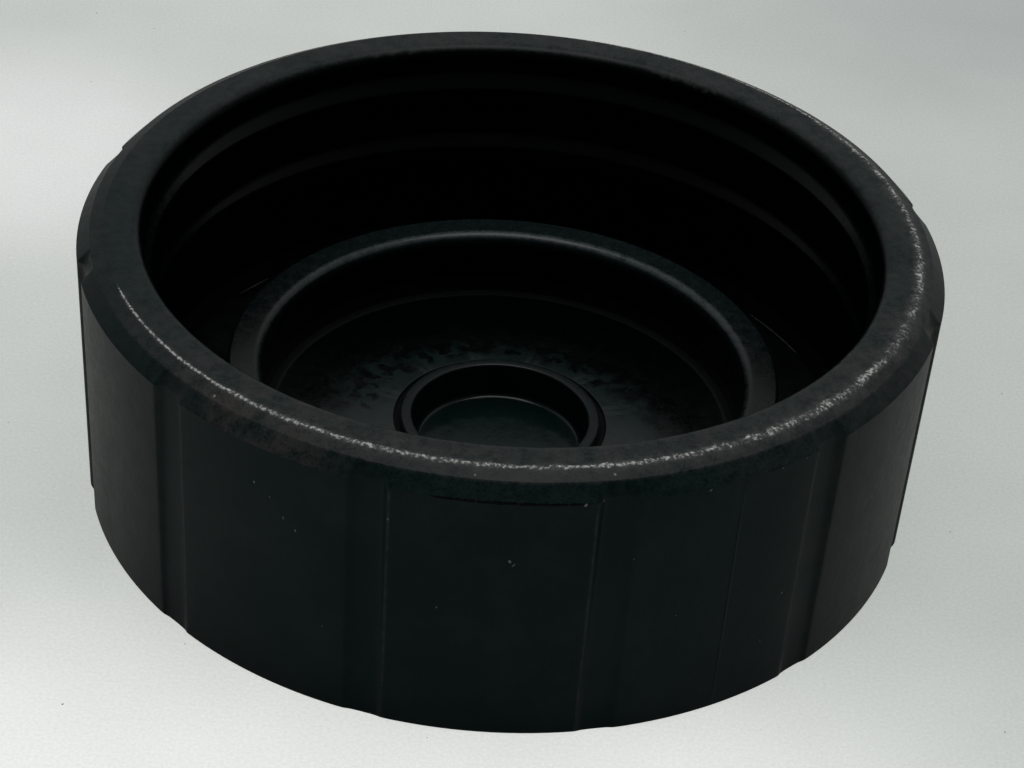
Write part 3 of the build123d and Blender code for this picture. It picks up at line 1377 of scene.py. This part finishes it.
    def inside_colour(self, wiring: Wiring, place: Sockets, tone: Socket) -> Socket:
        """Colour the walls, the standing ring, and the floor with its dried film and dark droplets, with
        painted light on the ring's top, a painted highlight on its inner edge, and painted shade on the walls,
        in the moat and at the recess's edge.

        Args:
            wiring: The finish's wiring.
            place: The point's radius, height and angle.
            tone: The tone of the grain.

        Returns:
            The colour.
        """
        radius, height, angle = place["radius"], place["height"], place["angle"]
        point = wiring.millimetres()
        # Painted light: the ring's top and inner edge are lighter at the angles where ring_light is high.
        lit = wiring.along(angle, self.ring_light)
        raised = wiring.ease(height, *self.ring_heights)
        on_ring = wiring.times(raised, wiring.ease(radius, *self.ring_radii))
        mottled = wiring.times(wiring.scaled(tone, self.ring_grain_gain, self.ring_least), lit)
        # Painted shade for the inside's skin, with the ring top's painted light laid over it.
        colour = wiring.blend(wiring.times(on_ring, mottled), self.shaded_inner_skin, self.ring_top_painted_light)
        # Painted highlight along the ring's inner round edge.
        inner = wiring.ease(radius, *self.ring_highlight_radii)
        edge = wiring.times(inner, wiring.ease(radius, *self.ring_highlight_end), on_ring, lit)
        edge = wiring.times(edge, wiring.ease(tone, *self.ring_highlight_grain))
        colour = wiring.blend(edge, colour, self.ring_edge_highlight)
        low = wiring.ease(height, *self.floor_heights)
        cloud = wiring.noise(point, self.film_cloud_size, detail=3.0, roughness=0.65)
        ragged = wiring.scaled(cloud, self.film_raggedness, -self.film_raggedness / 2)
        limit = wiring.times(wiring.along(angle, self.film_reach), self.film_scale)
        past = wiring.calc("SUBTRACT", wiring.calc("ADD", radius, ragged), limit)
        film = wiring.times(wiring.ease(past, *self.film_edge), low, wiring.ease(radius, *self.film_radii))
        colour = wiring.blend(film, colour, self.film)
        spots = wiring.ease(wiring.noise(point, self.droplet_size), *self.droplet_clouds)
        band = wiring.times(wiring.ease(radius, *self.droplet_start), wiring.ease(radius, *self.droplet_end))
        drops = wiring.times(spots, band, low, wiring.ease(angle, *self.droplet_angles))
        colour = wiring.blend(wiring.times(drops, self.droplet_share), colour, self.droplet_and_moat_shade)
        for span, tint in (
            # Painted shade in the narrow moat round the collar.
            (self.moat_radii, self.droplet_and_moat_shade),
            (self.collar_radii, self.collar_film),
            # Painted shade: the recess is darker at its edge than at its middle.
            (self.recess_radii, self.shaded_pool_rim),
            (self.pool_radii, self.pool_film),
        ):
            colour = wiring.blend(wiring.ease(radius, *span), colour, tint)
        return colour

    def dust_mask(self, wiring: Wiring, place: Sockets, haze: Socket, specks: list[Speck]) -> Socket:
        """Gather the single specks on the skirt and the chamfers into one mask.

        Args:
            wiring: The finish's wiring.
            place: The point's radius, height and angle.
            haze: A cloud pattern that makes the specks ragged.
            specks: The specks.

        Returns:
            The mask.
        """
        turn = wiring.times(place["angle"], math.radians(self.skirt_radius))
        spot = wiring.put("ShaderNodeCombineXYZ", {"X": turn, "Y": place["height"]}).outputs[0]
        nearest = None
        for speck in specks:
            node = wiring.put("ShaderNodeMapping", {"Vector": spot}, vector_type="TEXTURE")
            across = math.radians(speck.angle) * self.skirt_radius
            node.inputs["Location"].default_value = (across, speck.height, 0)
            node.inputs["Rotation"].default_value = (0, 0, math.radians(speck.lean))
            node.inputs["Scale"].default_value = (speck.width / 2, speck.length / 2, 1)
            length = wiring.put("ShaderNodeVectorMath", {0: node.outputs[0]}, operation="LENGTH")
            away = length.outputs["Value"]
            nearest = away if nearest is None else wiring.calc("MINIMUM", nearest, away)
        uneven = wiring.scaled(haze, self.speck_raggedness, -self.speck_raggedness / 2)
        ragged = wiring.calc("ADD", nearest, uneven)
        outside = wiring.ease(place["radius"], *self.speck_radii)
        return wiring.times(wiring.ease(ragged, *self.speck_edge), outside)

    def rim_smoothness(self, wiring: Wiring, place: Sockets) -> Socket:
        """Run the roughness from the chamfer's over the rim's to the polished mouth's.

        Args:
            wiring: The finish's wiring.
            place: The point's radius, height and angle.

        Returns:
            The roughness.
        """
        mouth = wiring.ease(place["radius"], *self.polished_radii)
        low = wiring.ease(place["height"], *reversed(self.bevel_heights))
        smooth = wiring.scaled(low, self.skirt_roughness - self.rim_roughness, self.rim_roughness)
        drop = wiring.calc("SUBTRACT", self.mouth_roughness, smooth)
        return wiring.scaled(mouth, drop, smooth)

    def inside_smoothness(self, wiring: Wiring, place: Sockets) -> Socket:
        """Run the roughness from the walls' and the ring's to the floor's, with dirt in the well's corner.

        Args:
            wiring: The finish's wiring.
            place: The point's radius, height and angle.

        Returns:
            The roughness.
        """
        radius, height = place["radius"], place["height"]
        low = wiring.ease(height, *self.smooth_heights)
        smooth = wiring.scaled(low, self.floor_roughness - self.ring_roughness, self.ring_roughness)
        raised = wiring.ease(height, *self.smooth_collar_heights)
        collar = wiring.times(wiring.ease(radius, *self.smooth_collar_radii), raised, low)
        smooth = wiring.scaled(collar, self.collar_roughness - self.floor_roughness, smooth)
        moat = wiring.times(wiring.ease(radius, *self.moat_radii), wiring.ease(radius, *self.dirty_moat_end))
        foot = wiring.ease(radius, *self.dirty_corner_radii)
        corner = wiring.times(low, wiring.calc("ADD", foot, moat))
        rise = wiring.calc("SUBTRACT", self.corner_roughness, smooth)
        return wiring.scaled(corner, rise, smooth)

    def material(self, zone: Zone) -> bpy.types.Material:
        """Make the plastic's material for one zone of the cap.

        Args:
            zone: The zone.

        Returns:
            The material.
        """
        material = bpy.data.materials.new(f"black_plastic_{zone.value}")
        material.use_nodes = True
        wiring = Wiring(material.node_tree)
        shader = material.node_tree.nodes["Principled BSDF"]
        shader.inputs["Specular IOR Level"].default_value = self.outside_specular
        place = PlaceOnCap().place(wiring)
        grain = FineGrain().place(wiring, size=self.grain_size, swell=self.grain_swell)
        if zone is Zone.SKIRT:
            smooth: Value = self.skirt_roughness
            colour, wear_and_painted_marks = self.skirt_colour(wiring, place, grain["tone"])
        elif zone is Zone.RIM:
            smooth = self.rim_smoothness(wiring, place)
            colour, wear_and_painted_marks = self.rim_colour(wiring, place, grain["tone"])
        else:
            smooth = self.inside_smoothness(wiring, place)
            colour, wear_and_painted_marks = self.inside_colour(wiring, place, grain["tone"]), None
            shader.inputs["Specular IOR Level"].default_value = self.inside_specular
        least = wiring.calc("SUBTRACT", smooth, self.roughness_play / 2)
        rough = wiring.scaled(grain["tone"], self.roughness_play, least)
        # The rougher marks are wear and painted highlight on the rim, and painted shade along the pads' upper
        # edge on the skirt.
        if wear_and_painted_marks is not None:
            rough = wiring.scaled(wear_and_painted_marks, wiring.calc("SUBTRACT", self.wear_and_painted_marks_roughness, rough), rough)
        depth = self.inside_grain_depth if zone is Zone.INSIDE else self.grain_depth
        wiring.feed(shader.inputs["Base Color"], colour)
        wiring.feed(shader.inputs["Roughness"], rough)
        wiring.feed(shader.inputs["Normal"], wiring.bump(grain["rise"], depth))
        return material


@dataclass(frozen=True)
class SealRubber:
    """Black rubber, a little duller than the plastic, with short painted highlights on its upper outer edge.
    """

    skin: Colour = (0.0001, 0.0003, 0.0003)
    bloom: Colour = (0.0008, 0.0012, 0.0012)
    # Painted highlight on the upper outer edge.
    painted_edge_highlight: Colour = (0.017, 0.018, 0.020)
    specular_level: float = 0.05
    roughness: float = 0.42
    roughness_play: float = 0.2
    grain_depth: float = 0.012
    # Two short arcs on the upper outer edge where highlights are painted.
    highlighted_outer_edge: MarkedEdge = MarkedEdge(30.15, 4.78, (
        (-180, 0.0), (27, 0.0), (28.5, 0.08), (31, 0.14), (38, 0.12), (41, 0.08), (42.5, 0.0), (137, 0.0),
        (139, 0.08), (142, 0.14), (144.5, 0.08), (146, 0.0), (180, 0.0),
    ))

    def material(self) -> bpy.types.Material:
        """Make the rubber's material.

        Returns:
            The material.
        """
        material = bpy.data.materials.new("seal_rubber")
        material.use_nodes = True
        wiring = Wiring(material.node_tree)
        shader = material.node_tree.nodes["Principled BSDF"]
        shader.inputs["Specular IOR Level"].default_value = self.specular_level
        place = PlaceOnCap().place(wiring)
        grain = FineGrain().place(wiring, size=0.22, swell=2.4)
        bloom = CloudyPatches().place(wiring, size=3.5, start=0.42, end=0.7, shift=11.0)["mask"]
        colour = wiring.blend(wiring.times(bloom, grain["tone"]), self.skin, self.bloom)
        # Painted highlights on the upper outer edge.
        marks = self.highlighted_outer_edge.marks(wiring, place, WearGrain().place(wiring, crumb=0.6, gap=3.0))
        colour = wiring.blend(marks["flakes"], colour, self.painted_edge_highlight)
        rough = wiring.scaled(grain["tone"], self.roughness_play, self.roughness - self.roughness_play / 2)
        wiring.feed(shader.inputs["Base Color"], colour)
        wiring.feed(shader.inputs["Roughness"], rough)
        wiring.feed(shader.inputs["Normal"], wiring.bump(grain["rise"], self.grain_depth))
        return material


@dataclass(frozen=True)
class PaleCloth:
    """The pale floor under the cap: brighter towards the front, with a faint weave and a few dark specks. The
    brightening is painted light.

    A span holds where a mask is 0 and where it is 1, in millimetres from the cap's axis.
    """

    left: Colour = (0.532, 0.560, 0.537)
    right: Colour = (0.462, 0.492, 0.470)
    # Painted light in front of the cap, which lifts its shadow there.
    bright: Colour = (0.80, 0.82, 0.795)
    # A painted pool of light at the back left.
    glow: Colour = (0.69, 0.705, 0.695)
    # Painted shade at the far right back.
    dim: Colour = (0.39, 0.41, 0.405)
    speck: Colour = (0.2, 0.2, 0.2)
    roughness: float = 0.9
    specular_level: float = 0.1
    own_light: float = 0.88
    mirrored_light: float = 0.3
    glow_place: Point = (-52.0, 48.0, 0.0)
    glow_reach: Span = (30.0, 6.0)
    rightward: Span = (-8.0, 45.0)
    forward: Span = (-8.0, -44.0)
    bright_fading: Span = (12.0, 46.0)
    bright_loss: float = 0.65
    dim_rightward: Span = (0.0, 60.0)
    dim_backward: Span = (60.0, 92.0)
    weave_size: float = 0.3
    weave_gain: float = 0.34
    cloud_size: float = 14.0
    cloud_gain: float = 0.12
    least_tone: float = 0.77

    def colour(self, wiring: Wiring) -> Socket:
        """Shade the cloth from place to place.

        Args:
            wiring: The material's wiring.

        Returns:
            The colour.
        """
        point = wiring.millimetres()
        x, y, _ = wiring.put("ShaderNodeSeparateXYZ", {"Vector": point}).outputs
        from_glow = wiring.put("ShaderNodeVectorMath", {0: point, 1: self.glow_place}, operation="DISTANCE")
        forward = wiring.ease(y, *self.forward)
        fading = wiring.scaled(wiring.ease(x, *self.bright_fading), -self.bright_loss, 1.0)
        far_right = wiring.times(wiring.ease(x, *self.dim_rightward), wiring.ease(y, *self.dim_backward))
        # Painted light: darker towards the right, a glow at the back left, brighter in front where it lifts
        # the cap's shadow, and painted shade at the far right back.
        colour = wiring.blend(wiring.ease(x, *self.rightward), self.left, self.right)
        colour = wiring.blend(wiring.ease(from_glow.outputs["Value"], *self.glow_reach), colour, self.glow)
        colour = wiring.blend(wiring.times(forward, fading), colour, self.bright)
        colour = wiring.blend(far_right, colour, self.dim)
        weave = wiring.noise(point, self.weave_size, detail=3.0, roughness=0.7)
        cloud = wiring.noise(point, self.cloud_size)
        tone = wiring.scaled(weave, self.weave_gain, wiring.scaled(cloud, self.cloud_gain, self.least_tone))
        shaded = wiring.put("ShaderNodeVectorMath", {0: colour}, operation="SCALE")
        wiring.feed(shaded.inputs["Scale"], tone)
        strewn = ScatteredSpecks().place(wiring, spacing=2.2, size=0.13, share=0.3)["mask"]
        return wiring.blend(strewn, shaded.outputs[0], self.speck)

    def material(self) -> bpy.types.Material:
        """Make the floor's material. The camera sees most of its colour plain, which lightens the shadow.

        Returns:
            The material.
        """
        material = bpy.data.materials.new("pale_cloth")
        material.use_nodes = True
        wiring = Wiring(material.node_tree)
        shader = material.node_tree.nodes["Principled BSDF"]
        shader.inputs["Roughness"].default_value = self.roughness
        shader.inputs["Specular IOR Level"].default_value = self.specular_level
        colour = self.colour(wiring)
        wiring.feed(shader.inputs["Base Color"], colour)
        plain = wiring.put("ShaderNodeEmission", {"Color": colour}).outputs[0]
        path = wiring.put("ShaderNodeLightPath").outputs
        seen = wiring.calc("MAXIMUM", path["Is Camera Ray"], path["Is Transmission Ray"])
        mirrored = wiring.times(path["Is Glossy Ray"], self.mirrored_light)
        share = wiring.calc("MAXIMUM", wiring.times(seen, self.own_light), mirrored)
        both = wiring.put("ShaderNodeMixShader", {0: share})
        wiring.feed(both.inputs[1], shader.outputs[0])
        wiring.feed(both.inputs[2], plain)
        wiring.feed(material.node_tree.nodes["Material Output"].inputs["Surface"], both.outputs[0])
        return material


@dataclass(frozen=True)
class Softbox:
    """A rectangular soft lamp, aimed at a point. Distances are in metres and the power in watts."""

    name: str
    place: Point
    aim: Point
    width: float
    depth: float
    power: float

    def build(self) -> None:
        """Hang the lamp in its place."""
        lamp = bpy.data.lights.new(self.name, "AREA")
        lamp.shape = "RECTANGLE"
        lamp.size = self.width
        lamp.size_y = self.depth
        lamp.energy = self.power
        holder = bpy.data.objects.new(self.name, lamp)
        holder.location = self.place
        direction = Vector(self.aim) - Vector(self.place)
        holder.rotation_euler = direction.to_track_quat("-Z", "Y").to_euler()
        bpy.context.scene.collection.objects.link(holder)


@dataclass(frozen=True)
class PhotoCamera:
    """The camera at the photograph's viewing angle. Distances are in metres and angles in degrees."""

    focal_pixels: float = 2844.31
    sensor: float = 36.0
    distance: float = 0.238
    target_height: float = 0.025
    elevation: float = 31.530
    pan: float = 0.193
    tilt: float = 3.217
    roll: float = -4.206
    nearest: float = 0.01
    farthest: float = 50.0

    def build(self) -> None:
        """Place the camera and make it the scene's own."""
        camera = bpy.data.cameras.new("photo_camera")
        camera.sensor_width = self.sensor
        camera.lens = self.focal_pixels * self.sensor / IMAGE_WIDTH
        camera.clip_start = self.nearest
        camera.clip_end = self.farthest
        rise = math.radians(self.elevation)
        back = Vector((0, -math.cos(rise), math.sin(rise)))
        level = Matrix((Vector((1, 0, 0)), Vector((0, math.sin(rise), math.cos(rise))), back))
        turn = (
            Matrix.Rotation(math.radians(self.roll), 3, "Z")
            @ Matrix.Rotation(math.radians(self.tilt), 3, "X")
            @ Matrix.Rotation(math.radians(self.pan), 3, "Y")
        )
        holder = bpy.data.objects.new("photo_camera", camera)
        bpy.context.scene.collection.objects.link(holder)
        place = Vector((0, 0, self.target_height)) + back * self.distance
        holder.matrix_world = Matrix.Translation(place) @ (turn @ level).transposed().to_4x4()
        bpy.context.scene.camera = holder


@dataclass(frozen=True)
class Studio:
    """The pale floor, the grey air round it and the soft lamp over the cap. Distances are in metres."""

    floor_size: float = 6.0
    floor_gap: float = 0.00002
    front_air: float = 0.12
    back_air: float = 0.55
    high_air: float = 0.75
    seen_air: float = 0.6
    behind: Span = (-0.7, 0.5)
    above: Span = (0.4, 0.75)
    above_behind: Span = (-0.1, 0.35)
    lamp: Softbox = Softbox("overhead", (0, 0.02, 0.9), (0, 0, 0), 0.55, 0.55, 6.5)

    def build_floor(self) -> None:
        """Lay the pale floor under the cap."""
        half = self.floor_size / 2
        corners = [(-half, -half, 0), (half, -half, 0), (half, half, 0), (-half, half, 0)]
        mesh = bpy.data.meshes.new("studio_floor")
        mesh.from_pydata(corners, [], [(0, 1, 2, 3)])
        floor = bpy.data.objects.new("studio_floor", mesh)
        floor.location.z = -self.floor_gap
        bpy.context.scene.collection.objects.link(floor)
        mesh.materials.append(PaleCloth().material())

    def build_air(self) -> None:
        """Surround the scene with plain grey air, lighter behind the cap than in front of it."""
        world = bpy.data.worlds.new("studio_air")
        world.use_nodes = True
        wiring = Wiring(world.node_tree)
        direction = wiring.put("ShaderNodeTexCoord").outputs["Generated"]
        _, backward, upward = wiring.put("ShaderNodeSeparateXYZ", {"Vector": direction}).outputs
        share = wiring.ease(backward, *self.behind)
        high = wiring.times(wiring.ease(upward, *self.above), wiring.ease(backward, *self.above_behind))
        level = wiring.scaled(share, self.back_air - self.front_air, self.front_air)
        level = wiring.scaled(high, self.high_air, level)
        air = wiring.put("ShaderNodeCombineXYZ", {"X": level, "Y": level, "Z": level}).outputs[0]
        seen = wiring.put("ShaderNodeLightPath").outputs["Is Camera Ray"]
        shown = wiring.blend(seen, air, (self.seen_air,) * 3)
        wiring.feed(world.node_tree.nodes["Background"].inputs["Color"], shown)
        bpy.context.scene.world = world

    def build(self) -> None:
        """Build the floor and the air, and hang the lamp."""
        self.build_floor()
        self.build_air()
        self.lamp.build()


def main() -> None:
    """Build the cap, its ring and the studio."""
    logging.basicConfig(level=logging.INFO, format="%(name)s: %(message)s")
    scene = bpy.context.scene
    scene.view_settings.view_transform = "Standard"
    plastic = MouldedPlastic()
    cap = CapBody()
    shell = cap.build()
    cap.dress(shell, plastic)
    log.info("%s: %d faces", shell.name, len(shell.data.polygons))
    ring = SealingRing()
    seal = ring.build()
    ring.dress(seal, SealRubber().material())
    log.info("%s: %d faces", seal.name, len(seal.data.polygons))
    Studio().build()
    PhotoCamera().build()


if __name__ == "__main__":
    main()
